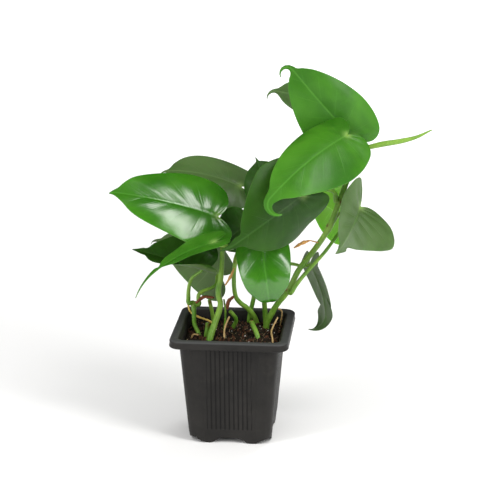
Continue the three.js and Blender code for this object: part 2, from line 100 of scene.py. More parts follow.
def add_area_light(name, place, size, watts, colour=(1, 1, 1), glossy=True):
    """A rectangular light near the plant."""
    light = add_light(name, "AREA", place, LIGHT_TARGET, watts, colour, glossy)
    light.shape = "RECTANGLE"
    light.size, light.size_y = size


def add_sun(name, place, strength, colour=(1, 1, 1)):
    """An even, very soft light from the direction of a place; it makes no highlights."""
    light = add_light(name, "SUN", place, (0, 0, 0), strength, colour, False)
    light.angle = math.radians(SUN_SPREAD)


def add_studio():
    bpy.context.scene.view_settings.view_transform = "Standard"
    world = bpy.data.worlds.new("studio")
    bpy.context.scene.world = world
    world.use_nodes = True
    background = world.node_tree.nodes["Background"]
    background.inputs["Color"].default_value = (1, 1, 1, 1)
    background.inputs["Strength"].default_value = AIR_BRIGHTNESS
    world.cycles_visibility.glossy = False
    add_area_light("softbox", (0.8, -0.56, 0.86), (0.32, 1.4), 12, (1, 0.99, 0.97))
    add_area_light("strip", (-0.92, -0.8, 0.62), (0.18, 1.2), 5)
    add_area_light("rim", (0.5, 1.2, 0.9), (0.8, 0.6), 7, glossy=False)
    add_sun("key", (-0.9, -1.1, 1.1), 1.15, (1, 0.985, 0.96))
    add_sun("fill", (1.2, -0.9, 0.6), 0.45)

    # Only the floor round the pot shows in glossy surfaces, as a table under a studio light would.
    points, faces = grid(20, 20, lambda s, t: (FLOOR_HALF * (2 * s - 1), FLOOR_HALF * (2 * t - 1), 0))
    near = [max(abs(points[k][axis]) for k in face for axis in (0, 1)) < TABLE_HALF for face in faces]
    for name, shown in (("studio_table", True), ("studio_floor", False)):
        part = new_object(name, points, [face for face, close in zip(faces, near) if close == shown])
        part.data.materials.append(floor_material())
        part.visible_glossy = shown


# ---------------------------------------------------------------- meshes and curves in code
def new_object(name, points, faces):
    """A smooth-shaded mesh object from points and faces."""
    mesh = bpy.data.meshes.new(name)
    mesh.from_pydata([tuple(map(float, p)) for p in points], [], [tuple(map(int, f)) for f in faces])
    mesh.update()
    mesh.polygons.foreach_set("use_smooth", [True] * len(mesh.polygons))
    return add_object(name, mesh)


def set_attribute(obj, name, values):
    """Gives each point of a mesh a number that materials and Geometry Nodes can read by its name."""
    layer = obj.data.attributes.new(name, "FLOAT", "POINT")
    layer.data.foreach_set("value", np.asarray(values, dtype=np.float32))


def grid(rows, columns, place):
    """Points and faces of an open sheet; place gives a point for shares from 0 to 1 along and across."""
    points = [place(i / rows, j / columns) for i in range(rows + 1) for j in range(columns + 1)]
    step = columns + 1
    faces = [
        (i * step + j, (i + 1) * step + j, (i + 1) * step + j + 1, i * step + j + 1)
        for i in range(rows)
        for j in range(columns)
    ]
    return points, faces


def smooth_path(points, count):
    """count points evenly spaced along a centripetal Catmull-Rom curve through the given ones."""
    p = np.asarray(points, dtype=float)
    p = np.vstack([2 * p[0] - p[1], p, 2 * p[-1] - p[-2]])
    step = np.maximum(np.linalg.norm(np.diff(p, axis=0), axis=1), 1e-6) ** 0.5
    t = np.linspace(0, 1, 40)[:, None]
    fine = []
    for i in range(1, len(p) - 2):
        before, here, after = step[i - 1 : i + 2]
        chord = (p[i + 1] - p[i]) / here
        leave = (p[i] - p[i - 1]) / before - (p[i + 1] - p[i - 1]) / (before + here) + chord
        arrive = chord - (p[i + 2] - p[i]) / (here + after) + (p[i + 2] - p[i + 1]) / after
        fine.append(
            (2 * t**3 - 3 * t**2 + 1) * p[i]
            + (t**3 - 2 * t**2 + t) * here * leave
            + (3 * t**2 - 2 * t**3) * p[i + 1]
            + (t**3 - t**2) * here * arrive
        )
    return evenly(np.vstack(fine), count)


def evenly(points, count):
    """count points evenly spaced along a line of straight pieces."""
    lengths = np.concatenate([[0], np.cumsum(np.linalg.norm(np.diff(points, axis=0), axis=1))])
    at = np.linspace(0, lengths[-1], count)
    return np.column_stack([np.interp(at, lengths, points[:, k]) for k in range(points.shape[1])])


def smoothstep(low, high, x):
    t = np.clip((np.asarray(x, dtype=float) - low) / (high - low), 0, 1)
    return t * t * (3 - 2 * t)


def unit(v):
    return v / np.linalg.norm(v)


# ---------------------------------------------------------------- reading the frame
def points_and_neighbours(node):
    """The node's points, each once, and the numbers of the points that share an edge with each."""
    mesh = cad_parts[node].data
    raw = np.array([v.co for v in mesh.vertices])
    points, number = np.unique(np.round(raw, 6), axis=0, return_inverse=True)
    number = number.reshape(-1)
    near = [set() for _ in points]
    for edge in mesh.edges:
        a, b = number[edge.vertices[0]], number[edge.vertices[1]]
        if a != b:
            near[a].add(b)
            near[b].add(a)
    return points, near


def tube_of(node):
    """The centres and radii of a tube node's rings, in order from one end to the other."""
    points, near = points_and_neighbours(node)
    for first in range(len(points)):
        layers = [{first}]
        seen = {first}
        while layers[-1]:
            following = {n for p in layers[-1] for n in near[p]} - seen
            seen |= following
            layers.append(following)
        sizes = [len(layer) for layer in layers[1:-2]]
        if len(layers[-2]) == 1 and min(sizes) == max(sizes) > 4:
            rings = [points[sorted(layer)] for layer in layers[1:-2]]
            centres = np.array([ring.mean(axis=0) for ring in rings])
            radii = np.array([np.linalg.norm(r - c, axis=1).mean() for r, c in zip(rings, centres)])
            return centres, radii
    raise ValueError(f"{node} is not a tube")


def lowest(centre, _):
    return centre[2]


def thickest(_, radius):
    return -radius


def tube_from(node, end):
    """tube_of, starting at the end for which end(centre, radius) is smaller."""
    centres, radii = tube_of(node)
    if end(centres[0], radii[0]) > end(centres[-1], radii[-1]):
        return centres[::-1], radii[::-1]
    return centres, radii


# ---------------------------------------------------------------- shader building blocks
class Shader:
    """A material's node tree, with one method for each kind of node that the materials here use."""

    def __init__(self, name):
        self.material = bpy.data.materials.new(name)
        self.material.use_nodes = True
        self.tree = self.material.node_tree
        self.surface = self.tree.nodes["Principled BSDF"]
        self.place = self.node("ShaderNodeTexCoord").outputs["Object"]

    def node(self, kind, **settings):
        made = self.tree.nodes.new(kind)
        for key, value in settings.items():
            setattr(made, key, value)
        return made

    def feed(self, socket, value):
        if isinstance(value, bpy.types.NodeSocket):
            self.tree.links.new(value, socket)
        elif isinstance(value, tuple) and len(value) == 3 and socket.type == "RGBA":
            socket.default_value = (*value, 1)
        else:
            socket.default_value = value

    def math(self, operation, a, b=0.0):
        made = self.node("ShaderNodeMath", operation=operation)
        for socket, value in zip(made.inputs, (a, b)):
            self.feed(socket, value)
        return made.outputs[0]

    def attribute(self, name):
        return self.node("ShaderNodeAttribute", attribute_name=name).outputs["Fac"]

    def stretched(self, scale):
        """Places scaled by a factor for each axis, for a pattern that is longer one way."""
        made = self.node("ShaderNodeMapping")
        self.feed(made.inputs["Vector"], self.place)
        made.inputs["Scale"].default_value = scale
        return made.outputs[0]

    def noise(self, scale, detail=3.0, rough=0.5, at=None, distortion=0.0):
        made = self.node("ShaderNodeTexNoise")
        self.feed(made.inputs["Vector"], self.place if at is None else at)
        made.inputs["Scale"].default_value = scale
        made.inputs["Detail"].default_value = detail
        made.inputs["Roughness"].default_value = rough
        made.inputs["Distortion"].default_value = distortion
        return made.outputs["Fac"]

    def cells(self, scale):
        made = self.node("ShaderNodeTexVoronoi")
        self.feed(made.inputs["Vector"], self.place)
        made.inputs["Scale"].default_value = scale
        return made.outputs["Distance"]

    def spread(self, value, low, high, to_low=0.0, to_high=1.0):
        """value carried smoothly from the range low to high into the range to_low to to_high."""
        made = self.node("ShaderNodeMapRange", interpolation_type="SMOOTHSTEP")
        for key, item in zip(("Value", "From Min", "From Max", "To Min", "To Max"),
                             (value, low, high, to_low, to_high)):
            self.feed(made.inputs[key], item)
        return made.outputs["Result"]

    def mix(self, share, first, second):
        made = self.node("ShaderNodeMix", data_type="RGBA")
        colours = [socket for socket in made.inputs if socket.type == "RGBA"]
        self.feed(made.inputs["Factor"], share)
        self.feed(colours[0], first)
        self.feed(colours[1], second)
        return [socket for socket in made.outputs if socket.type == "RGBA"][0]

    def tint(self, colour, share, strength, other):
        """colour mixed with the other one where share is 1, as far as strength."""
        return self.mix(self.math("MULTIPLY", share, strength), colour, other)

    def bump(self, height, distance, strength=1.0):
        made = self.node("ShaderNodeBump")
        made.inputs["Strength"].default_value = strength
        made.inputs["Distance"].default_value = distance
        self.feed(made.inputs["Height"], height)
        self.feed(self.surface.inputs["Normal"], made.outputs["Normal"])

    def finish(self, colour, roughness, **constants):
        self.feed(self.surface.inputs["Base Color"], colour)
        self.feed(self.surface.inputs["Roughness"], roughness)
        for name, value in constants.items():
            self.surface.inputs[name.replace("_", " ")].default_value = value
        return self.material


# ---------------------------------------------------------------- materials
SIDE_VEINS = 8  # main veins on each half of a blade
FINE_VEINS = 46
PALE_JOINT = (0.3, 0.48, 0.12)  # the pale spot on a blade where its petiole joins


def floor_material():
    """A pale floor that glows a little away from the pot, so that it stays white where lights fade."""
    s = Shader("floor")
    away = s.node("ShaderNodeVectorMath", operation="LENGTH")
    s.feed(away.inputs[0], s.place)
    s.feed(s.surface.inputs["Emission Strength"], s.spread(away.outputs["Value"], 0.35, 1.6, 0, 0.5))
    return s.finish(s.mix(s.noise(3), (0.9, 0.9, 0.9), (0.93, 0.93, 0.93)), 0.9, Specular_IOR_Level=0.1,
                    Emission_Color=(1, 1, 1, 1))


def leaf_material(name, light, deep, under, rough, shine, glow=0.0):
    """Living leaf. light and deep mottle its upper side and under is its lower side; rough is how far
    its sheen spreads and shine how strong it is; glow lets more light through. The blade's attributes
    say where a point lies: row runs from the notch to the tip along the margin, rib is the distance
    from the midrib in mm, margin is 1 at the edge, back is 1 beneath and joint is 1 at the petiole."""
    s = Shader(name)
    row, rib = s.attribute("row"), s.attribute("rib")
    margin, back, joint = s.attribute("margin"), s.attribute("back"), s.attribute("joint")

    def lines(count, width):
        wave = s.math("ABSOLUTE", s.math("SINE", s.math("MULTIPLY", row, math.pi * count)))
        return s.spread(wave, width, 0.0)

    wander = s.noise(55, 2)
    cloud = s.noise(26, 4, 0.55, distortion=0.4)
    fleck = s.noise(900, 2, 0.6)
    midrib = s.spread(rib, 0.25, 0.95, 1, 0)
    laterals = s.math("MULTIPLY", lines(SIDE_VEINS, 0.16), s.spread(margin, 0.5, 0.95, 1, 0))
    fine = s.math("MULTIPLY", lines(FINE_VEINS, 0.5), s.spread(margin, 0.3, 0.9, 1, 0.25))
    edge = s.spread(margin, 0.975, 0.995)

    paler = tuple(min(1.0, 1.5 * c + 0.02) for c in light)
    body = s.mix(s.spread(cloud, 0.3, 0.7), deep, light)
    body = s.tint(body, s.spread(rib, 0, 15, 1, 0), 0.5, deep)
    body = s.tint(body, fine, 0.12, deep)
    body = s.tint(body, laterals, 0.1, paler)
    body = s.tint(body, midrib, 0.3, paler)
    body = s.tint(body, s.spread(fleck, 0.55, 0.8), 0.12, paler)
    lower = s.mix(s.spread(cloud, 0.3, 0.7), tuple(0.82 * c for c in under), under)
    pale_vein = tuple(min(1.0, 1.4 * c + 0.03) for c in under)
    veins = s.math("MAXIMUM", midrib, s.math("MULTIPLY", laterals, 0.5))
    lower = s.tint(lower, veins, 0.6, pale_vein)
    colour = s.mix(back, body, lower)
    colour = s.tint(colour, joint, 0.6, PALE_JOINT)
    colour = s.tint(colour, edge, 0.3, paler)

    top_roughness = s.spread(wander, 0.3, 0.7, rough - 0.04, rough + 0.07)
    roughness = s.math("ADD", top_roughness, s.math("MULTIPLY", back, 0.22))
    height = s.math("MULTIPLY", laterals, -0.5)
    height = s.math("ADD", height, s.math("MULTIPLY", fine, -0.22))
    height = s.math("ADD", height, s.math("MULTIPLY", fleck, 0.16))
    height = s.math("ADD", height, s.math("MULTIPLY", s.noise(260, 3), 0.35))
    s.bump(height, 0.00022, 0.5)
    return s.finish(colour, roughness, Specular_IOR_Level=shine, Subsurface_Weight=0.12 + glow,
                    Subsurface_Radius=(0.3, 1.0, 0.12), Subsurface_Scale=0.0016 + 0.004 * glow,
                    Coat_Weight=0.2 * shine, Coat_Roughness=0.22)


def stem_material(name, light, deep, rust):
    """Smooth living stem, streaked along its length and deeper at its foot; ring turns it to rust."""
    s = Shader(name)
    along = s.attribute("along")
    streak = s.noise(1, 3, 0.6, s.stretched((620, 620, 60)))
    cloud = s.noise(60, 3)
    ring = s.attribute("ring")
    colour = s.mix(s.spread(cloud, 0.3, 0.7), deep, light)
    pale = tuple(1.35 * c for c in light)
    colour = s.tint(colour, s.spread(streak, 0.45, 0.75), 0.35, pale)
    colour = s.mix(s.spread(along, 0.0, 0.25, 0.35, 0), colour, deep)
    colour = s.tint(colour, ring, s.spread(s.noise(350, 3), 0.35, 0.6), rust)
    speck = s.spread(s.cells(420), 0.1, 0.2, 1, 0)
    colour = s.tint(colour, speck, 0.25, rust)
    s.bump(s.math("ADD", streak, s.math("MULTIPLY", s.noise(700, 2), 0.4)), 0.00018, 0.7)
    return s.finish(colour, s.spread(streak, 0.3, 0.7, 0.34, 0.5), Specular_IOR_Level=0.45,
                    Subsurface_Weight=0.12, Subsurface_Radius=(0.5, 1.0, 0.2), Subsurface_Scale=0.0012)


def fibre_material(name, light, deep, roughness=0.75):
    """Dry root, sheath or soil fibre: streaks along it and darker flecks."""
    s = Shader(name)
    streak = s.noise(1, 4, 0.65, s.stretched((900, 900, 160)))
    fleck = s.noise(240, 4, 0.7)
    colour = s.mix(s.spread(streak, 0.32, 0.68), deep, light)
    colour = s.mix(s.spread(fleck, 0.55, 0.75, 0, 0.6), colour, tuple(0.45 * c for c in deep))
    s.bump(s.math("ADD", streak, s.math("MULTIPLY", fleck, 0.6)), 0.0004)
    return s.finish(colour, s.spread(fleck, 0.3, 0.7, roughness - 0.12, roughness + 0.1))


def pot_material():
    """Black plastic, mottled and with a little dust, with painted shade darkening the grooves and a painted
    sheen lightening the top of the rim.
    """
    s = Shader("pot_plastic")
    mottle = s.noise(24, 5, 0.6)
    grain = s.noise(1400, 2, 0.5)
    scuff = s.noise(1, 4, 0.6, s.stretched((120, 120, 900)))
    dust = s.spread(s.noise(70, 5, 0.7), 0.5, 0.8)
    colour = s.mix(s.spread(mottle, 0.3, 0.7), (0.014, 0.0134, 0.0127), (0.024, 0.0226, 0.021))
    colour = s.tint(colour, dust, 0.16, (0.075, 0.068, 0.058))
    # Painted shade: the bottoms of the grooves between the flutes are darkened nearly to black, as if shade
    # lay in them.
    groove = s.spread(s.attribute("groove"), 0.25, 0.95)
    colour = s.tint(colour, groove, 0.9, (0.003, 0.0028, 0.0026))
    # Painted sheen: the top of the rim is lightened to grey, standing in for the highlight of the light from
    # above.
    place = s.node("ShaderNodeSeparateXYZ")
    s.feed(place.inputs[0], s.place)
    painted_rim_sheen = s.spread(place.outputs["Z"], (POT_TOP - 1.6) * MM, (POT_TOP - 0.4) * MM)
    colour = s.tint(colour, painted_rim_sheen, 0.75, (0.075, 0.077, 0.078))
    rough = s.math("ADD", s.spread(mottle, 0.3, 0.7, 0.36, 0.46), s.spread(scuff, 0.4, 0.7, 0, 0.08))
    s.bump(s.math("ADD", grain, s.math("MULTIPLY", s.noise(180, 3), 0.5)), 0.00012, 0.55)
    return s.finish(colour, rough, Specular_IOR_Level=0.15)


def peat_material(name, light, deep):
    """Crumbly matter with paler grit."""
    s = Shader(name)
    lump = s.noise(160, 5, 0.7)
    grit = s.noise(900, 4, 0.7)
    colour = s.mix(s.spread(lump, 0.35, 0.65), deep, light)
    colour = s.mix(s.spread(grit, 0.6, 0.72, 0, 0.5), colour, tuple(2.2 * c for c in light))
    s.bump(s.math("ADD", lump, s.math("MULTIPLY", grit, 0.6)), 0.0009)
    return s.finish(colour, s.spread(grit, 0.3, 0.7, 0.7, 0.95), Specular_IOR_Level=0.35)


# ---------------------------------------------------------------- blades
# Half of the heart's outline from the notch to the start of the drip tip, as (along the midrib, out from
# it); 1 is the blade's whole length and its half width.
HEART = [
    (0.0, 0.004), (-0.07, 0.1), (-0.13, 0.28), (-0.15, 0.54), (-0.09, 0.8), (0.05, 0.97), (0.22, 1.0),
    (0.42, 0.87), (0.6, 0.66), (0.73, 0.44), (0.81, 0.22),
]
DRIP_START = 0.86  # share of the length where the drip tip begins, unless the leaf says otherwise
ROWS = 84  # steps from the notch to the tip
COLUMNS = 40  # steps across a blade
SPINE_STEPS = 150
EDGE_CROWDING = 0.65  # how far the points across a blade crowd towards its edges
BLADE_THICKNESS = 0.42 * MM
PETIOLE_GAP = 2.13 * MM  # how far below its blade a petiole's CAD node stops
JOINT_SPOT = 3.2 * MM  # radius of the pale spot where the petiole joins

# How each blade hangs, as in the CAD source. runs is the way from the notch to the start of the drip
# tip, in mm, and faces is the way its upper side looks, as (compass, height). half is the half width when
# flat, in mm, and sides scales it for the left and right halves. arch, hook and hook_sway turn the
# midrib and the drip tip; fold and brim are how steeply the left and right halves rise at the midrib
# and at the edge; lobes raises the two lobes behind the notch. lobe, waist, tip and drip shape the
# outline, as outline_of says, and tone is the material. Angles are in degrees.
LEAVES = {
    "top": dict(runs=(-45, -13, 54), faces=(-102, 16), half=27, arch=26, fold=(14, 8), brim=(-8, -40),
                lobes=4, hook=20, hook_sway=165, drip=0.82, tip=0.09, waist=(0.9, 0.9), tone="bright"),
    "front": dict(runs=(-53, -49, -37), faces=(-104, 38), half=31, arch=34, fold=(-14, 8), brim=(-62, -30),
                  sides=(1, 0.84), lobes=10, hook=30, hook_sway=145, drip=0.8, tip=0.16, lobe=(0.7, 0.7),
                  tone="bright"),
    "centre": dict(runs=(-45, -26, -30), faces=(-88, 8), half=39, arch=24, fold=(-10, 8), brim=(-76, -8),
                   sides=(0.82, 0.9), lobes=2, hook=14, hook_sway=-18, drip=0.8, waist=(0.9, 1.5),
                   lobe=(1.7, 1.7), tip=0.12, tone="dark"),
    "left": dict(runs=(-74, -17, 21), faces=(-104, 48), half=30, arch=22, fold=(4, 18), brim=(-34, -20),
                 sides=(0.94, 1), lobe=(1, 0.5), lobes=6, hook=26, hook_sway=10, drip=0.93, tip=0.14,
                 waist=(0.85, 0.75), tone="glossy"),
    "slim": dict(runs=(-42, -14, -19), faces=(-102, 84), half=17, arch=26, fold=(8, 16), brim=(-20, -10),
                 sides=(0.6, 1), lobes=6, hook=30, hook_sway=10, drip=0.66, tip=0.2, waist=(1.5, 1.5),
                 tone="bright"),
    "back_left": dict(runs=(-59, 8, 9), faces=(-88, 58), half=25, arch=40, fold=(8, 8), brim=(-34, -34),
                      lobes=6, hook=60, waist=(0.6, 0.6), tone="grey_sheen"),
    "low_left": dict(runs=(-46, -2, 14), faces=(-92, 40), half=27, arch=18, fold=(66, 10), brim=(100, -10),
                     lobes=4, hook=6, waist=(1.3, 1.3), tip=0.12, tone="dark"),
    "low_back": dict(runs=(-49, 12, 23), faces=(80, 24), half=31, arch=44, fold=(12, 12), brim=(-24, -24),
                     lobes=6, hook=90, tone="dark"),
    "mid_back": dict(runs=(-22, 1, -17), faces=(-90, 4), half=19, arch=20, fold=(10, 10), brim=(-14, -14),
                     lobes=4, hook=20, tone="dark"),
    "high_back": dict(runs=(-9, 10, 20), faces=(-96, 6), half=18, arch=16, fold=(12, 12), brim=(-12, -12),
                      lobes=4, hook=10, hook_sway=20, tone="dark"),
    "glossy": dict(runs=(8, -20, -43), faces=(-88, 28), half=22, arch=84, fold=(12, 12), brim=(-52, -52),
                   lobes=10, hook=70, waist=(0.4, 0.4), tip=0.4, tone="glossy"),
    "backlit": dict(runs=(-30, 20, 11), faces=(100, 24), half=31, arch=24, fold=(12, 12), brim=(-16, -16),
                    lobes=6, hook=20, tone="backlit_glow"),
    "right": dict(runs=(-13, -26, -25), faces=(-46, 30), half=43, arch=30, fold=(6, 32), brim=(-22, 32),
                  sides=(0.95, 0.58), lobes=6, hook=10, hook_sway=-20, lobe=(0.8, 2.3), waist=(1.5, 1.3),
                  tip=0.12, tone="grey_sheen"),
    "low_right": dict(runs=(13, -4, -38), faces=(20, 0), half=26, arch=26, fold=(14, 14), brim=(-20, -20),
                      lobes=40, hook=105, drip=0.66, tip=0.85, waist=(0.8, 0.8), tone="grey_sheen"),
    "behind_top": dict(runs=(-41, -4, 9), faces=(-92, 26), half=17, arch=22, fold=(12, 12), brim=(-16, -16),
                       lobes=6, hook=60, hook_sway=80, drip=0.78, tip=0.12, tone="grey_sheen"),
}


def turned(v, axis, angle):
    """v turned about a unit axis, by Rodrigues' formula."""
    cosine = math.cos(angle)
    return v * cosine + np.cross(axis, v) * math.sin(angle) + axis * (axis @ v) * (1 - cosine)


def local_spine(leaf):
    """The midrib as points and frames (along, left, face), first lying along +X with its face to +Z."""
    drip = leaf.get("drip", DRIP_START)
    point, along, left, face = np.zeros(3), np.eye(3)[0], np.eye(3)[1], np.eye(3)[2]
    points, frames = [], []
    for i in range(SPINE_STEPS + 1):
        points.append(point.copy())
        frames.append(np.array([along, left, face]))
        in_tip = (i + 0.5) / SPINE_STEPS > drip
        steps = SPINE_STEPS * ((1 - drip) if in_tip else drip)
        pitch = math.radians(leaf["hook"] if in_tip else leaf["arch"]) / steps
        yaw = math.radians(leaf.get("hook_sway", 0) if in_tip else 0) / steps
        along = turned(turned(along, left, pitch), face, yaw)
        face = turned(face, left, pitch)
        face = unit(face - along * (face @ along))
        left = np.cross(face, along)
        point = point + along / SPINE_STEPS
    return np.array(points), np.array(frames)


def basis(forward, up):
    """The rows x, y and z of a frame whose x runs forward and whose z is as near to up as it can be."""
    x = unit(forward)
    z = unit(up - x * (up @ x))
    return np.array([x, np.cross(z, x), z])


def compass(direction):
    """The unit vector for a compass bearing from +X and a height above the horizon, in degrees."""
    turn, height = (math.radians(a) for a in direction)
    return np.array([math.cos(turn) * math.cos(height), math.sin(turn) * math.cos(height), math.sin(height)])


def outline_of(leaf, side):
    """Half of the leaf's outline: lobe lengthens the lobe behind the notch, waist above 1 draws the blade
    in towards its tip and below 1 fills it out, and tip is the half width where the drip tip begins."""
    drip = leaf.get("drip", DRIP_START)
    lobe, waist = leaf.get("lobe", (1, 1))[side], leaf.get("waist", (1, 1))[side]
    tip = leaf.get("tip", 0.07)
    body = []
    for along, out in HEART:
        stretch = drip / DRIP_START if along > 0 else lobe
        body.append((along * stretch, out**waist if along > 0.1 else out, 0))
    tail = [(drip, tip, 0), (drip + 0.5 * (1 - drip), 0.5 * tip, 0), (1.0, 0.1 * tip, 0)]
    return smooth_path(body + tail, ROWS + 1)


def hung_spine(leaf):
    """The midrib's points, its frames and its length, turned and sized as the leaf hangs, from the origin."""
    points, frames = local_spine(leaf)
    apex = round(SPINE_STEPS * leaf.get("drip", DRIP_START))
    runs = np.array(leaf["runs"]) * MM
    length = np.linalg.norm(runs) / np.linalg.norm(points[apex])
    turn = basis(points[apex], frames[apex // 2][2]).T @ basis(runs, compass(leaf["faces"]))
    return points @ turn * length, frames @ turn, length


def notch_of(name, face):
    """Where the blade joins its petiole: above the free end of the petiole's CAD node."""
    centres, _ = tube_from(f"petiole_{name}", thickest)
    return centres[-1] + face * PETIOLE_GAP


def along_spine(points, frames, length, share, lobe_lift):
    """The midrib's point and frame at a share of its length; behind the notch it runs straight back."""
    if share <= 0:
        backward = frames[0][0] * math.cos(lobe_lift) - frames[0][2] * math.sin(lobe_lift)
        return points[0] + backward * share * length, frames[0]
    place = share * SPINE_STEPS
    k = min(int(place), SPINE_STEPS - 1)
    t = place - k
    return points[k] * (1 - t) + points[k + 1] * t, frames[k] * (1 - t) + frames[k + 1] * t


def bowed(fold, bend, reach):
    """How far across and up an arc of length reach ends, when it starts at fold and bends steadily."""
    if abs(bend) > 1e-3:
        across = (math.sin(fold + bend * reach) - math.sin(fold)) / bend
        rise = (math.cos(fold) - math.cos(fold + bend * reach)) / bend
        return across, rise
    return reach * math.cos(fold), reach * math.sin(fold)


def blade_relief(u, side, out, rim_out, rib, phase, beneath):
    """Relief in mm: the midrib's groove, swellings between the side veins and a wavy margin."""
    swell = 0.32 * math.sin(math.pi * SIDE_VEINS * u + 0.6 * side) ** 2 * min(1, rib / 6) * (1 - out**3)
    groove = -0.45 * math.exp(-((rib / 0.9) ** 2)) * (1 - 0.7 * u) * (1.8 if beneath else 1)
    wave = 0.9 * math.sin(2 * math.pi * 2.6 * u + phase + 1.3 * side) * out**4 * min(1, rim_out * 2)
    return (swell + groove + wave) * min(1, 6 * rim_out)


def blade(name, leaf, number):
    """A leaf's blade, and the place where its petiole joins. The number sets where its waves start."""
    points, frames, length = hung_spine(leaf)
    notch = notch_of(name, frames[0][2])
    points = points + notch
    outlines = [outline_of(leaf, side) for side in (0, 1)]
    around = 2 * COLUMNS
    vertices = []
    marks = {key: [] for key in ("row", "rib", "margin", "back", "joint")}
    for i in range(ROWS + 1):
        u = i / ROWS
        # Each row leaves the midrib at root and runs to the margin, forward as the side veins do.
        root = 0.07 * u + 0.93 * u**3.1
        for slot in range(around):
            # Slots 0 to COLUMNS cross the upper side from left to right, and the rest return below.
            crossing = min(slot, around - slot) / COLUMNS
            upper = 0 < slot < COLUMNS
            edge = slot in (0, COLUMNS)
            v = EDGE_CROWDING * math.cos(math.pi * crossing) + (1 - EDGE_CROWDING) * (1 - 2 * crossing)
            side = 0 if v >= 0 else 1
            out = abs(v)
            rim_along, rim_out = outlines[side][i][:2]
            share = root + (rim_along - root) * out
            place, frame_here = along_spine(points, frames, length, share, math.radians(leaf["lobes"]))
            fade = 1 - 0.6 * max(0, share)
            fold = math.radians(leaf["fold"][side]) * fade
            bend = math.radians(leaf["brim"][side]) * fade - fold
            across, rise = bowed(fold, bend, out * rim_out)
            width = leaf["half"] * MM * leaf.get("sides", (1, 1))[side]
            rib = out * rim_out * width / MM
            thickness = 0 if edge else (0.5 if upper else -0.5) * (1 - out**10) ** 0.5
            beneath = not upper and not edge
            relief = blade_relief(u, side, out, rim_out, rib, 1.7 * number, beneath)
            lifted = relief * MM + thickness * BLADE_THICKNESS
            place = place + frame_here[1] * math.copysign(across * width, v)
            place = place + frame_here[2] * (rise * width + lifted)
            vertices.append(place)
            marks["row"].append(u)
            marks["rib"].append(rib)
            marks["margin"].append(out)
            marks["back"].append(0.0 if upper else 0.5 if edge else 1.0)
            marks["joint"].append(math.exp(-((np.linalg.norm(place - notch) / JOINT_SPOT) ** 2)))
    faces = []
    for i in range(ROWS):
        for slot in range(around):
            a, b = i * around + slot, i * around + (slot + 1) % around
            faces.append((a, b, b + around, a + around))
    faces.append(tuple(range(around))[::-1])
    faces.append(tuple(ROWS * around + slot for slot in range(around)))
    obj = new_object(f"leaf_{name}", vertices, faces)
    for key, values in marks.items():
        set_attribute(obj, key, values)
    return obj, notch


# ---------------------------------------------------------------- Geometry Nodes
class Nodes:
    """A Geometry Nodes group with named inputs, built node by node."""

    def __init__(self, name, inputs):
        self.group = bpy.data.node_groups.new(name, "GeometryNodeTree")
        self.group.interface.new_socket("Geometry", in_out="OUTPUT", socket_type="NodeSocketGeometry")
        self.group.interface.new_socket("Geometry", in_out="INPUT", socket_type="NodeSocketGeometry")
        for label, kind in inputs.items():
            self.group.interface.new_socket(label, in_out="INPUT", socket_type=f"NodeSocket{kind}")
        self.given = self.group.nodes.new("NodeGroupInput").outputs

    def add(self, kind, links=None, **settings):
        made = self.group.nodes.new(kind)
        for key, value in settings.items():
            setattr(made, key, value)
        for key, value in (links or {}).items():
            socket = made.inputs[key]
            if isinstance(value, bpy.types.NodeSocket):
                self.group.links.new(value, socket)
            else:
                socket.default_value = value
        return made

    def finish(self, geometry, material):
        real = self.add("GeometryNodeRealizeInstances", {0: geometry}).outputs[0]
        smooth = self.add("GeometryNodeSetShadeSmooth", {0: real}).outputs[0]
        painted = self.add("GeometryNodeSetMaterial", {0: smooth, "Material": material}).outputs[0]
        self.add("NodeGroupOutput", {0: painted})
        return self.group


def run_nodes(name, group, source, values):
    """The group's result on a source object, as a plain mesh object; the source is removed."""
    modifier = source.modifiers.new("build", "NODES")
    modifier.node_group = group
    for item in group.interface.items_tree:
        if item.in_out == "INPUT" and item.name in values:
            modifier[item.identifier] = values[item.name]
    depsgraph = bpy.context.evaluated_depsgraph_get()
    mesh = bpy.data.meshes.new_from_object(source.evaluated_get(depsgraph), depsgraph=depsgraph)
    mesh.name = name
    made = add_object(name, mesh)
    bpy.data.objects.remove(source)
    return made


def stem_group():
    """Sweeps a round section along a line of edges. The line's points carry radius and ring, which is 1
    where a joint of the stem darkens it; the result also carries along, from 0 to 1."""
    n = Nodes("swept_stem", {"Sides": "Int", "Step": "Float", "Ripple": "Float", "Ripple scale": "Float",
                             "Flatness": "Float", "Material": "Material"})
    curve = n.add("GeometryNodeMeshToCurve", {0: n.given["Geometry"]}).outputs[0]
    fine = n.add("GeometryNodeResampleCurve", {0: curve, "Length": n.given["Step"]}, mode="LENGTH").outputs[0]
    share = n.add("GeometryNodeSplineParameter").outputs["Factor"]
    marked = n.add("GeometryNodeStoreNamedAttribute", {0: fine, "Name": "along", "Value": share}).outputs[0]
    radius = n.add("GeometryNodeInputNamedAttribute", {"Name": "radius"}, data_type="FLOAT").outputs[0]
    noise = n.add("ShaderNodeTexNoise", {"Scale": n.given["Ripple scale"], "Detail": 2.0}).outputs["Fac"]
    ripple = n.add("ShaderNodeMapRange", {"Value": noise, "From Min": 0.3, "From Max": 0.7, "To Min": 1.0,
                                          "To Max": n.given["Ripple"]}).outputs["Result"]
    scale = n.add("ShaderNodeMath", {0: radius, 1: ripple}, operation="MULTIPLY").outputs[0]
    circle = n.add("GeometryNodeCurvePrimitiveCircle", {"Resolution": n.given["Sides"], "Radius": 1.0})
    squeeze = n.add("ShaderNodeCombineXYZ", {"X": 1.0, "Y": n.given["Flatness"], "Z": 1.0}).outputs[0]
    section = n.add("GeometryNodeTransform", {0: circle.outputs[0], "Scale": squeeze}).outputs[0]
    swept = n.add("GeometryNodeCurveToMesh", {0: marked, 1: section, "Scale": scale, "Fill Caps": True})
    return n.finish(swept.outputs[0], n.given["Material"])


STEM_STEP = 0.7 * MM  # between the rings of a finished stem


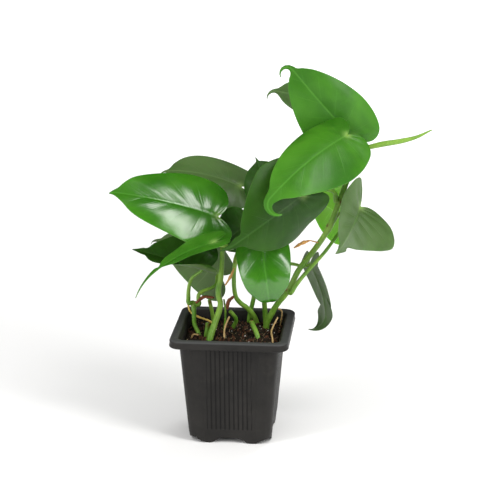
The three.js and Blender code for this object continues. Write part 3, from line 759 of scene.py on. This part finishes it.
def stem(name, path, radii, material, rings=None, ripple=1.06, ripple_scale=160.0, flatness=1.0, sides=20):
    """A stem or root through the path's points, in a piece of its own. Its thickest swellings are ripple
    times as wide as radii says, and flatness squeezes its round section."""
    mesh = bpy.data.meshes.new(f"{name}_path")
    mesh.from_pydata([tuple(map(float, p)) for p in path], [(i, i + 1) for i in range(len(path) - 1)], [])
    source = add_object(f"{name}_path", mesh)
    set_attribute(source, "radius", radii)
    set_attribute(source, "ring", np.zeros(len(path)) if rings is None else rings)
    values = {"Sides": sides, "Step": STEM_STEP, "Ripple": ripple, "Ripple scale": ripple_scale,
              "Flatness": flatness, "Material": material}
    return run_nodes(name, GROUPS["stem"], source, values)


def smooth_tube(centres, radii):
    """Points about 1 mm apart through a tube's centres, and the radius at each."""
    length = np.linalg.norm(np.diff(centres, axis=0), axis=1).sum()
    path = smooth_path(np.column_stack([centres, radii]), max(8, int(length / MM)))
    return path[:, :3], path[:, 3]


def near_gaussian(path, places, width):
    """1 at each place on the path and falling to 0 over the width."""
    value = np.zeros(len(path))
    for place in places:
        away = np.linalg.norm(path - place, axis=1)
        value = np.maximum(value, np.exp(-((away / width) ** 2)))
    return value


# ---------------------------------------------------------------- vines and petioles
VINES = ("right", "left", "middle", "back", "rear", "short", "far_left")
JOINT_SWELLING = 0.16  # how much thicker a vine is where a petiole leaves it
JOINT_LENGTH = 3.2 * MM  # how far the swelling runs from there, and how far its dark ring does
JOINT_RING = 1.3 * MM


def make_vines(materials):
    """Every vine, with a joint where each petiole leaves it. Returns the pieces and the vines' paths."""
    paths = {name: smooth_tube(*tube_from(f"vine_{name}", lowest)) for name in VINES}
    joints = {name: [] for name in VINES}
    for leaf in LEAVES:
        foot = tube_from(f"petiole_{leaf}", thickest)[0][0]
        name, place = nearest_on(paths, foot)
        joints[name].append(place)
    pieces = {}
    for name, (path, radii) in paths.items():
        ring = near_gaussian(path, joints[name], JOINT_RING)
        swollen = radii * (1 + JOINT_SWELLING * near_gaussian(path, joints[name], JOINT_LENGTH))
        pieces[f"vine_{name}"] = stem(f"vine_{name}", path, swollen, materials["stem"], ring)
    return pieces, paths


def nearest_on(paths, place):
    """The name of the vine that passes nearest to a place, and the nearest point of its path."""
    best = None
    for name, (path, _) in paths.items():
        away = np.linalg.norm(path - place, axis=1)
        i = int(away.argmin())
        if best is None or away[i] < best[0]:
            best = (away[i], name, path[i])
    return best[1], best[2]


def make_petiole(leaf, notch, vine_paths, material):
    """A petiole from inside its vine to its blade, a little stouter at the vine and finer at the blade."""
    centres, radii = tube_from(f"petiole_{leaf}", thickest)
    _, root = nearest_on(vine_paths, centres[0])
    centres = np.vstack([root, centres, notch])
    radii = np.concatenate([[radii[0] * 1.1], radii, [radii[-1] * 0.75]])
    path, radii = smooth_tube(centres, radii)
    return stem(f"petiole_{leaf}", path, radii, material)


# ---------------------------------------------------------------- pot
POT_TOP = 85
RIM_HALF = 45
OPENING_HALF = 39.2
BODY_TOP_HALF = 38.2
BODY_BOTTOM_HALF = 31
WALL = 1.15
FLOOR_UNDERSIDE = 5
FOOT_LIFT = 4.4
FOOT_OFFSET = 16
SCALLOP_REACH = 11  # from a foot to where the edge between the feet is highest
FLUTE_PITCH = 3.4
FLUTES = 10
FLUTE_BOTTOM = 11
FLUTE_TOP = 80
FLUTED_HALF = FLUTES * FLUTE_PITCH / 2  # the flutes reach this far from the middle of a side
SIDE_STEPS = 220
CORNER_STEPS = 14


def foot_height(along, half):
    """Height of the wall's lower edge: two feet a side, with scallops between them and at the corners."""
    from_foot = abs(along) - FOOT_OFFSET
    rise = min(1, abs(from_foot) / (half - FOOT_OFFSET if from_foot > 0 else SCALLOP_REACH))
    return FOOT_LIFT * (1 - math.cos(math.pi * rise)) / 2


def wall_relief(along, z):
    """How far the outer wall stands out at a place: ten upright flutes and two stepped panels a side."""
    share = z / POT_TOP
    relief = -0.35 * (1 - smoothstep(-0.3, 0.3, abs(along) - 19 - 3 * share))
    relief += 0.3 * smoothstep(-0.3, 0.3, abs(along) - 26 - 2.5 * share)
    if abs(along) < FLUTED_HALF:
        flute = abs(math.sin(math.pi * (along / FLUTE_PITCH + FLUTES / 2))) ** 0.7
        ends = smoothstep(FLUTE_BOTTOM, FLUTE_BOTTOM + 1.5, z)
        ends *= 1 - smoothstep(FLUTE_TOP - 1.5, FLUTE_TOP, z)
        relief += 0.5 * flute * ends
    return float(relief)


def square_ring(half, radius, height, relief):
    """One ring of a rounded square, in mm: four sides, each followed by its corner. The height is a
    number or a function of the place along a side, and relief moves the outer wall in and out."""
    flat = half - radius
    points = []
    for quarter in range(4):
        turn = quarter * math.pi / 2
        for i in range(SIDE_STEPS):
            along = -flat + 2 * flat * i / SIDE_STEPS
            points.append((turn, along, half))
        for i in range(CORNER_STEPS):
            angle = math.pi / 2 * i / CORNER_STEPS
            points.append((turn, flat + radius * math.sin(angle), flat + radius * math.cos(angle)))
    ring = []
    for turn, along, out in points:
        z = height(along, half) if callable(height) else height
        out += relief(along, z) if relief and out > 0.9 * half else 0
        x = -along * math.cos(turn) - out * math.sin(turn)
        y = -along * math.sin(turn) + out * math.cos(turn)
        ring.append((x, y, z))
    return ring


def lathe_square(name, profile):
    """A closed body from rings of rounded squares; its first and last entries are heights on the axis."""
    rings = [square_ring(*row) for row in profile[1:-1]]
    count = len(rings[0])
    points = [(0, 0, profile[0])] + [p for ring in rings for p in ring] + [(0, 0, profile[-1])]
    faces = []
    for i in range(count):
        j = (i + 1) % count
        faces.append((0, 1 + i, 1 + j))
        faces.append((len(points) - 1, 1 + (len(rings) - 1) * count + j, 1 + (len(rings) - 1) * count + i))
        for ring in range(len(rings) - 1):
            a, b = 1 + ring * count, 1 + (ring + 1) * count
            faces.append((a + i, b + i, b + j, a + j))
    obj = new_object(name, np.array(points) * MM, faces)
    outward(obj)
    return obj


def outward(obj):
    """Turns every face of a closed mesh to point outwards."""
    bm = bmesh.new()
    bm.from_mesh(obj.data)
    bmesh.ops.recalc_face_normals(bm, faces=bm.faces)
    bm.to_mesh(obj.data)
    bm.free()


# The rim's section, from beneath it, round its lip and up to the top, in mm: how far each ring lies in
# from RIM_HALF, its corner radius and how far it lies below POT_TOP.
RIM_ROWS = [
    (1.6, 8.4, 1.7), (1.2, 8.5, 2.1), (1.1, 8.6, 5.6), (0.9, 8.7, 5.95), (0.4, 9.1, 6), (0.08, 9.4, 5.6),
    (0, 9.5, 5), (0.35, 9.3, 3.8), (0.4, 9.3, 2.4), (0.25, 9.35, 1.5), (0.45, 9.2, 0.8), (0.9, 8.9, 0.3),
    (1.6, 8.5, 0.05), (2.4, 8.2, 0),
]


def pot_profile():
    """The pot's section as rings (half width, corner radius, height, relief) in mm: the pad under the
    floor, the scalloped edge, the fluted wall, the rim with its lip, and down the inside to the floor."""
    inner_bottom = BODY_BOTTOM_HALF - WALL + 0.6
    inner_top = BODY_TOP_HALF - WALL
    profile = [0.0, (9, 5, 0.0, None), (9.6, 5.3, 0.3, None), (11, 6, FLOOR_UNDERSIDE, None),
               (BODY_BOTTOM_HALF - WALL - 0.8, 5, FLOOR_UNDERSIDE, None),
               (BODY_BOTTOM_HALF - WALL, 5.5, foot_height, None),
               (BODY_BOTTOM_HALF - 0.15, 6.4, foot_height, None)]
    body_rows = [0.0, 1.5, 3, 4.5, 6, 8, 10, 11, 11.5, 12, 12.5, 14, 30, 50, 70, 78, 78.5, 79, 79.5, 80, 82]
    for z in body_rows:
        share = z / (POT_TOP - 1.5)
        half = BODY_BOTTOM_HALF + (BODY_TOP_HALF - BODY_BOTTOM_HALF) * share
        # The lowest rows follow the scalloped edge and straighten out as they rise.
        rise = (lambda along, half, z=z: z + foot_height(along, half) * (1 - z / 8)) if z < 8 else z
        profile.append((half, 6.5 + 1.5 * share, rise, wall_relief))
    profile += [(BODY_TOP_HALF, 8, POT_TOP - 1.9, None), (BODY_TOP_HALF + 0.5, 8.1, POT_TOP - 1.7, None)]
    profile += [(RIM_HALF - inward, radius, POT_TOP - down, None) for inward, radius, down in RIM_ROWS]
    profile += [
        (OPENING_HALF + 0.8, 7.3, POT_TOP, None), (OPENING_HALF + 0.2, 7.1, POT_TOP - 0.15, None),
        (OPENING_HALF - 0.3, 6.9, POT_TOP - 0.6, None), (inner_top, 6.2, POT_TOP - 2.9, None),
        (inner_top - 0.5, 6.1, 77, None), (inner_bottom, 5, FLOOR_UNDERSIDE + WALL, None),
        FLOOR_UNDERSIDE + WALL,
    ]
    return profile


def groove_shade_at(place):
    """How much painted shade a place gets: 1 in the bottom of a groove between two flutes, falling to 0 on
    the flutes and everywhere else.
    """
    x, y, z = (abs(value) / MM for value in place)
    along, out = min(x, y), max(x, y)
    fluted = along <= FLUTED_HALF + 0.2 and FLUTE_BOTTOM + 0.5 < z < FLUTE_TOP - 0.4
    if not fluted or out < BODY_BOTTOM_HALF - 0.5:
        return 0
    return 1 - abs(math.sin(math.pi * (along / FLUTE_PITCH + FLUTES / 2)))


def make_pot(material):
    pot = lathe_square("nursery_pot", pot_profile())
    # The groove attribute marks where the painted shade of the grooves goes.
    set_attribute(pot, "groove", [groove_shade_at(vertex.co) for vertex in pot.data.vertices])
    pot.data.materials.append(material)
    return pot


# ---------------------------------------------------------------- soil and what lies on it
SOIL_EDGE = 75.2
SOIL_CROWN = 76.4
SOIL_STEPS = 130
SOIL_CORNER = 5.6


def soil_height(x, y):
    """Height of the soil's top in mm at a place in mm: a low crown with lumps."""
    crown = SOIL_EDGE + (SOIL_CROWN - SOIL_EDGE) * (1 - max(abs(x), abs(y)) / 37)
    lumps = noise.fractal(Vector((x, y, 0)) * 0.09, 0.8, 2.1, 4)
    return crown + 1.1 * lumps


def squared(x, y, half, radius):
    """A place in the square of half width 1 carried into a rounded square."""
    flat = half - radius
    px, py = half * x, half * y
    over = max(abs(px) - flat, 0), max(abs(py) - flat, 0)
    if over[0] > 0 and over[1] > 0:
        far = math.hypot(*over)
        shrink = max(over) / far
        px = math.copysign(flat + over[0] * shrink, px)
        py = math.copysign(flat + over[1] * shrink, py)
    return px, py


def make_soil(material):
    """The soil as a closed body, and an open sheet just inside its top for the grains to lie on."""
    steps = SOIL_STEPS
    half = BODY_TOP_HALF - WALL - 0.75
    floor = (FLOOR_UNDERSIDE + WALL + 0.3) * MM

    def top(s, t):
        x, y = squared(2 * s - 1, 2 * t - 1, half, SOIL_CORNER)
        return x * MM, y * MM, soil_height(x, y) * MM

    points, faces = grid(steps, steps, top)
    step = steps + 1
    rim = [i * step for i in range(steps)] + [steps * step + j for j in range(steps)]
    rim += [i * step + steps for i in range(steps, 0, -1)] + [j for j in range(steps, 0, -1)]
    base = len(points)
    shrink = (BODY_BOTTOM_HALF - WALL) / half
    points += [(points[k][0] * shrink, points[k][1] * shrink, floor) for k in rim]
    for i in range(len(rim)):
        j = (i + 1) % len(rim)
        faces.append((rim[i], rim[j], base + j, base + i))
    faces.append(tuple(range(base, base + len(rim))))
    soil = new_object("potting_soil", points, faces)
    outward(soil)
    soil.data.materials.append(material)
    sheet, sheet_faces = grid(60, 60, lambda s, t: top(0.015 + 0.97 * s, 0.015 + 0.97 * t))
    return soil, new_object("soil_top", sheet, sheet_faces)


def scatter_group():
    """Strews a lumpy grain over a surface: each is turned, sized and sunk at random from the seed."""
    n = Nodes("strewn_grains", {"Density": "Float", "Spacing": "Float", "Grain": "Float", "Long": "Float",
                                "Flat": "Float", "Smallest": "Float", "Lumps": "Float", "Facets": "Int",
                                "Lift": "Float", "Seed": "Int", "Material": "Material"})
    ball = n.add("GeometryNodeMeshIcoSphere", {"Radius": 1.0, "Subdivisions": n.given["Facets"]}).outputs[0]
    wobble = n.add("ShaderNodeTexNoise", {"Scale": 1.6, "Detail": 1.0}).outputs["Color"]
    centred = n.add("ShaderNodeVectorMath", {0: wobble, 1: (0.5, 0.5, 0.5)}, operation="SUBTRACT").outputs[0]
    push = n.add("ShaderNodeVectorMath", {0: centred, "Scale": n.given["Lumps"]}, operation="SCALE")
    lumpy = n.add("GeometryNodeSetPosition", {0: ball, "Offset": push.outputs[0]}).outputs[0]
    shape = n.add("ShaderNodeCombineXYZ", {"X": n.given["Long"], "Y": 1.0, "Z": n.given["Flat"]}).outputs[0]
    grain = n.add("GeometryNodeTransform", {0: lumpy, "Scale": shape}).outputs[0]
    return strew(n, grain)


def strew(n, grain):
    """The rest of scatter_group's tree: the grain placed on points of the surface."""
    spread = n.add("GeometryNodeDistributePointsOnFaces",
                   {0: n.given["Geometry"], "Distance Min": n.given["Spacing"],
                    "Density Max": n.given["Density"], "Seed": n.given["Seed"]}, distribute_method="POISSON")
    turn = n.add("FunctionNodeRandomValue", {"Max": (6.3, 6.3, 6.3), "Seed": n.given["Seed"]},
                 data_type="FLOAT_VECTOR").outputs[0]
    size = n.add("FunctionNodeRandomValue", {2: n.given["Smallest"], 3: 1.0, "Seed": n.given["Seed"]},
                 data_type="FLOAT").outputs[1]
    sized = n.add("ShaderNodeMath", {0: size, 1: n.given["Grain"]}, operation="MULTIPLY").outputs[0]
    places = n.add("GeometryNodeInstanceOnPoints", {0: spread.outputs[0], "Instance": grain, "Rotation": turn,
                                                    "Scale": sized}).outputs[0]
    up = n.add("ShaderNodeCombineXYZ", {"Z": n.given["Lift"]}).outputs[0]
    lifted = n.add("GeometryNodeTranslateInstances", {0: places, "Translation": up, "Local Space": False})
    return n.finish(lifted.outputs[0], n.given["Material"])


GRAINS = {
    "peat_crumbs": dict(Density=2.0e6, Spacing=0.0007, Grain=0.0012, Long=1.25, Flat=0.8, Smallest=0.3,
                        Lumps=1.1, Facets=1, Lift=0.0001, Seed=11, material="peat"),
    "bark_chips": dict(Density=6.0e4, Spacing=0.0022, Grain=0.0017, Long=1.9, Flat=0.45, Smallest=0.4,
                       Lumps=0.9, Facets=2, Lift=0.0005, Seed=5, material="bark"),
    "perlite": dict(Density=9.0e3, Spacing=0.004, Grain=0.0009, Long=1.1, Flat=0.9, Smallest=0.4,
                    Lumps=0.8, Facets=2, Lift=0.0006, Seed=3, material="perlite"),
    "peat_fibres": dict(Density=8.0e4, Spacing=0.0024, Grain=0.00016, Long=11.0, Flat=0.9, Smallest=0.5,
                        Lumps=0.5, Facets=2, Lift=0.0009, Seed=8, material="fibre"),
}


def make_grains(sheet, materials):
    """Every kind of grain, each strewn over the whole of the sheet as one piece."""
    pieces = {}
    for name, values in GRAINS.items():
        source = add_object(f"{name}_field", sheet.data.copy())
        inputs = {**values, "Material": materials[values["material"]]}
        pieces[name] = run_nodes(name, GROUPS["scatter"], source, inputs)
    return pieces


# ---------------------------------------------------------------- assembly
GROUPS = {"stem": stem_group(), "scatter": scatter_group()}


def make_materials():
    """Every material, by the name that the tables give it."""
    leaf = {
        "bright": leaf_material("leaf_bright", (0.058, 0.212, 0.012), (0.025, 0.12, 0.005),
                                (0.13, 0.27, 0.06), 0.4, 0.24),
        "glossy": leaf_material("leaf_glossy", (0.05, 0.2, 0.01), (0.022, 0.12, 0.005),
                                (0.1, 0.2, 0.05), 0.19, 0.8),
        # Painted shade: the same leaf green darkened, for the leaves that lie in shade within the plant.
        "dark": leaf_material("leaf_painted_shade", (0.025, 0.086, 0.005), (0.013, 0.05, 0.003),
                              (0.09, 0.15, 0.05), 0.42, 0.2),
        # Grey-green, partly the leaves' own paler green and partly a painted reflection of the pale studio
        # seen at a grazing angle.
        "grey_sheen": leaf_material("leaf_grey_sheen", (0.085, 0.155, 0.045), (0.05, 0.105, 0.022),
                               (0.1, 0.17, 0.06), 0.42, 0.42),
        # Painted light: this bright yellow-green stands in for light shining through a leaf lit from behind.
        "backlit_glow": leaf_material("leaf_backlit_glow", (0.19, 0.43, 0.02), (0.12, 0.3, 0.01),
                               (0.18, 0.42, 0.025), 0.4, 0.4, 0.2),
    }
    return {
        **leaf,
        "stem": stem_material("stem", (0.22, 0.39, 0.05), (0.09, 0.24, 0.018), (0.12, 0.05, 0.015)),
        "spear": stem_material("spear", (0.2, 0.36, 0.04), (0.13, 0.27, 0.03), (0.3, 0.2, 0.06)),
        "husk": fibre_material("dry_husk", (0.24, 0.07, 0.02), (0.1, 0.026, 0.01)),
        "tan": fibre_material("tan_husk", (0.66, 0.36, 0.11), (0.42, 0.19, 0.05)),
        "yellow": fibre_material("yellow_root", (0.8, 0.58, 0.14), (0.6, 0.4, 0.08), 0.55),
        "fibre": fibre_material("soil_fibre", (0.5, 0.36, 0.2), (0.26, 0.16, 0.08)),
        "root": fibre_material("root", (0.62, 0.44, 0.19), (0.42, 0.26, 0.1), 0.6),
        "pot": pot_material(),
        "peat": peat_material("peat", (0.022, 0.013, 0.007), (0.009, 0.005, 0.003)),
        "bark": peat_material("bark", (0.09, 0.035, 0.015), (0.035, 0.014, 0.007)),
        "perlite": peat_material("perlite", (0.75, 0.74, 0.7), (0.6, 0.58, 0.53)),
    }


def hand_over(piece, slot, *nodes):
    """Puts a piece on the root body and hides the CAD nodes that it stands for; slot is not used."""
    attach(piece, "root")
    if nodes:
        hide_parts(*nodes)


# The material slot that each finish belongs to, and the finish of each small part.
SLOTS = {"bright": "leaf", "glossy": "leaf", "dark": "dark_leaf", "grey_sheen": "dark_leaf", "backlit_glow": "young_leaf",
         "stem": "stem", "spear": "stem", "husk": "dry_sheath", "tan": "tan_sheath", "root": "root",
         "yellow": "root"}
SMALL_PARTS = {
    "new_leaf": "spear", "stub_front": "stem", "stub_fallen": "stem", "stub_back": "stem",
    "sheath_node": "husk", "sheath_withered": "husk", "sheath_tan": "tan", "sheath_right": "tan",
    "root_front": "root", "root_yellow": "yellow", "root_right": "root", "root_right_front": "root",
    "root_thin": "stem", "root_left": "root",
}
ROOT_SLIMMING = 0.65  # the CAD's roots are stouter than the real ones
CUT_END = 3 * MM  # how far the brown of a cut stub reaches down it


def make_small_part(node, vine_paths, material):
    """A stub, sheath, root or new leaf along its CAD node's path, with the finish of its kind."""
    path, radii = smooth_tube(*tube_from(node, lowest))
    shape = {}
    if node == "sheath_right":
        path = np.vstack([path, nearest_on(vine_paths, path[-1])[1]])
        radii = np.append(radii, radii[-1])
    if node.startswith("sheath"):
        shape = dict(ripple=1.8, ripple_scale=330.0, flatness=0.5)
    elif node.startswith("stub"):
        shape = dict(rings=near_gaussian(path, path[-1:], CUT_END))
    elif node.startswith("root"):
        radii = ROOT_SLIMMING * radii
        shape = dict(ripple=1.5, ripple_scale=420.0)
    return stem(node, path, radii, material, **shape)


add_camera()
add_studio()
MATERIALS = make_materials()

vines, vine_paths = make_vines(MATERIALS)
for node, piece in vines.items():
    hand_over(piece, "stem", node)

for number, (leaf_name, leaf) in enumerate(LEAVES.items()):
    leaf_blade, leaf_notch = blade(leaf_name, leaf, number)
    leaf_blade.data.materials.append(MATERIALS[leaf["tone"]])
    hand_over(leaf_blade, SLOTS[leaf["tone"]], f"blade_{leaf_name}")
    petiole = make_petiole(leaf_name, leaf_notch, vine_paths, MATERIALS["stem"])
    hand_over(petiole, "stem", f"petiole_{leaf_name}")

for node, finish in SMALL_PARTS.items():
    hand_over(make_small_part(node, vine_paths, MATERIALS[finish]), SLOTS[finish], node)

hand_over(make_pot(MATERIALS["pot"]), "pot_plastic", "pot")
soil, soil_sheet = make_soil(MATERIALS["peat"])
hand_over(soil, "potting_soil", "soil")
for piece in make_grains(soil_sheet, MATERIALS).values():
    hand_over(piece, "potting_soil")
bpy.data.objects.remove(soil_sheet)
